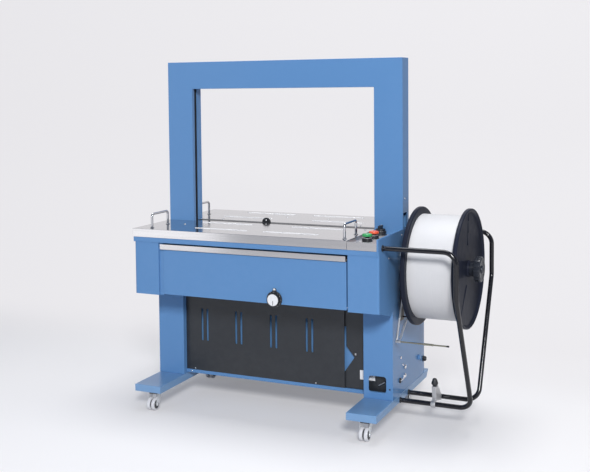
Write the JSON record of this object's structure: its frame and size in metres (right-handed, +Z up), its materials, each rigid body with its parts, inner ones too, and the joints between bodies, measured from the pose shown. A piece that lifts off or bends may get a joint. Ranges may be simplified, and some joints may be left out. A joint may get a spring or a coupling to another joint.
{
  "type": "semi automatic strapping machine",
  "caption": "Strapping machine with a fixed rectangular arch over a table with lift-off plates, a body on legs with casters and a side strap reel.",
  "frame": {"origin": "middle of the machine's footprint box, on the floor", "axes": "+X towards the strap reel, +Y away from the operator, +Z up"},
  "size_m": [1.416, 0.7222, 1.483],
  "materials": {
    "blue_paint": "smooth satin blue powder coat",
    "black_paint": "fine satin black powder coat",
    "steel_plate": "brushed stainless steel",
    "zinc": "bright zinc plating",
    "chrome": "polished chrome",
    "black_plastic": "moulded black plastic",
    "white_strip": "smooth white plastic",
    "green_cap": "glossy green plastic",
    "red_cap": "glossy orange red plastic",
    "strap": "satin white polypropylene strap",
    "brass": "yellow passivated steel",
    "machined": "machined steel",
    "rubber": "black rubber",
    "tyre": "light grey nylon",
    "motor_grey": "dark grey paint",
    "box_grey": "light grey paint"
  },
  "bodies": {
    "machine": {"left_foot": "blue_paint", "right_foot": "blue_paint", "left_upright": "blue_paint", "right_upright": "blue_paint", "cross_rails": "blue_paint", "body_pan": "blue_paint", "left_cover": "blue_paint", "right_cover": "blue_paint", "rear_panel": "blue_paint", "table_frame": "blue_paint", "strap_track": "black_plastic", "operator_panel": "black_plastic", "operator_lip": "steel_plate", "arch_housing": "blue_paint", "arch_track": "black_paint", "hinge_rod": "zinc", "pool_front_panel": "black_paint", "pool_rear_panel": "blue_paint", "recess_panel": "black_paint", "reel_spindle": "zinc", "front_guard_tube": "black_paint", "rear_guard_tube": "black_paint", "dancer_bracket": "black_paint", "caster_plates": "zinc", "sealing_head": "machined", "gear_motor": "motor_grey", "control_box": "box_grey"},
    "front_table": {"front_table_plate": "steel_plate", "front_handles": "chrome", "front_glides": "white_strip"},
    "rear_table": {"rear_table_plate": "steel_plate", "rear_handles": "chrome", "rear_glides": "white_strip"},
    "start": {"start_button": "green_cap"},
    "stop": {"stop_button": "red_cap"},
    "switch": {"main_switch": "black_plastic"},
    "flap": {"service_flap": "blue_paint", "flap_grip": "steel_plate", "tension_dial": "black_plastic"},
    "tension": {"tension_knob": "white_strip"},
    "reel": {"inner_flange": "black_plastic", "reel_core": "black_plastic", "strap_coil": "strap", "outer_flange": "black_plastic", "hub_nut": "black_plastic"},
    "dancer": {"dancer_arm": "zinc", "dancer_spring": "brass"},
    "lever": {"foot_lever": "zinc", "lever_knob": "black_plastic"},
    "cams": {"cam_shaft": "machined"},
    "feed": {"feed_roller": "rubber"},
    "pinch": {"pinch_roller": "machined"},
    "front_left_fork": {"front_left_fork": "chrome"},
    "front_left_wheel": {"front_left_wheels": "tyre"},
    "front_right_fork": {"front_right_fork": "chrome"},
    "front_right_wheel": {"front_right_wheels": "tyre"},
    "back_left_fork": {"back_left_fork": "chrome"},
    "back_left_wheel": {"back_left_wheels": "tyre"},
    "back_right_fork": {"back_right_fork": "chrome"},
    "back_right_wheel": {"back_right_wheels": "tyre"}
  },
  "joints": [
    {"name": "front_table_lift", "type": "slide", "parent": "machine", "child": "front_table", "axis": [0, 0, 1], "range_m": [0, 0.15]},
    {"name": "rear_table_lift", "type": "slide", "parent": "machine", "child": "rear_table", "axis": [0, 0, 1], "range_m": [0, 0.15]},
    {"name": "start_press", "type": "slide", "parent": "machine", "child": "start", "axis": [0, 0, -1], "range_m": [0, 0.004], "stiffness_N_per_m": 600},
    {"name": "stop_press", "type": "slide", "parent": "machine", "child": "stop", "axis": [0, 0, -1], "range_m": [0, 0.004], "stiffness_N_per_m": 600},
    {"name": "main_switch_turn", "type": "hinge", "parent": "machine", "child": "switch", "pos_m": [0.3, -0.06885, 0.783], "axis": [0, 0, -1], "range_deg": [0, 90]},
    {"name": "flap_hinge", "type": "hinge", "parent": "machine", "child": "flap", "pos_m": [-0.16, -0.33085, 0.518], "axis": [1, 0, 0], "range_deg": [0, 95]},
    {"name": "tension_turn", "type": "hinge", "parent": "flap", "child": "tension", "pos_m": [-0.048, -0.34985, 0.529], "axis": [0, -1, 0], "range_deg": [-150, 150]},
    {"name": "reel_spin", "type": "hinge", "parent": "machine", "child": "reel", "pos_m": [0.549, -0.01285, 0.642], "axis": [1, 0, 0], "continuous": true},
    {"name": "dancer_swing", "type": "hinge", "parent": "machine", "child": "dancer", "pos_m": [0.396, -0.07285, 0.533], "axis": [1, 0, 0], "range_deg": [-15, 20], "stiffness_Nm_per_rad": 4, "deforming": ["dancer_spring"]},
    {"name": "lever_rock", "type": "hinge", "parent": "machine", "child": "lever", "pos_m": [0.52, -0.06785, 0.096], "axis": [1, 0, 0], "range_deg": [-12, 15]},
    {"name": "cam_spin", "type": "hinge", "parent": "machine", "child": "cams", "pos_m": [-0.16, 0.00115, 0.64], "axis": [0, 1, 0], "continuous": true},
    {"name": "feed_spin", "type": "hinge", "parent": "machine", "child": "feed", "pos_m": [-0.04, 0.00115, 0.64], "axis": [0, 1, 0], "continuous": true},
    {"name": "pinch_spin", "type": "hinge", "parent": "machine", "child": "pinch", "pos_m": [-0.04, 0.00115, 0.679], "axis": [0, 1, 0], "continuous": true},
    {"name": "front_left_swivel", "type": "hinge", "parent": "machine", "child": "front_left_fork", "pos_m": [-0.639, -0.29485, 0.08], "axis": [0, 0, 1], "continuous": true},
    {"name": "front_left_roll", "type": "hinge", "parent": "front_left_fork", "child": "front_left_wheel", "pos_m": [-0.639, -0.31485, 0.027], "axis": [1, 0, 0], "continuous": true},
    {"name": "front_right_swivel", "type": "hinge", "parent": "machine", "child": "front_right_fork", "pos_m": [0.319, -0.29485, 0.08], "axis": [0, 0, 1], "continuous": true},
    {"name": "front_right_roll", "type": "hinge", "parent": "front_right_fork", "child": "front_right_wheel", "pos_m": [0.319, -0.31485, 0.027], "axis": [1, 0, 0], "continuous": true},
    {"name": "back_left_swivel", "type": "hinge", "parent": "machine", "child": "back_left_fork", "pos_m": [-0.639, 0.20915, 0.08], "axis": [0, 0, 1], "continuous": true},
    {"name": "back_left_roll", "type": "hinge", "parent": "back_left_fork", "child": "back_left_wheel", "pos_m": [-0.639, 0.18915, 0.027], "axis": [1, 0, 0], "continuous": true},
    {"name": "back_right_swivel", "type": "hinge", "parent": "machine", "child": "back_right_fork", "pos_m": [0.319, 0.20915, 0.08], "axis": [0, 0, 1], "continuous": true},
    {"name": "back_right_roll", "type": "hinge", "parent": "back_right_fork", "child": "back_right_wheel", "pos_m": [0.319, 0.18915, 0.027], "axis": [1, 0, 0], "continuous": true}
  ],
  "couplings": [
    {"joint": "pinch_spin", "follows": "feed_spin", "ratio": -1.6}
  ]
}
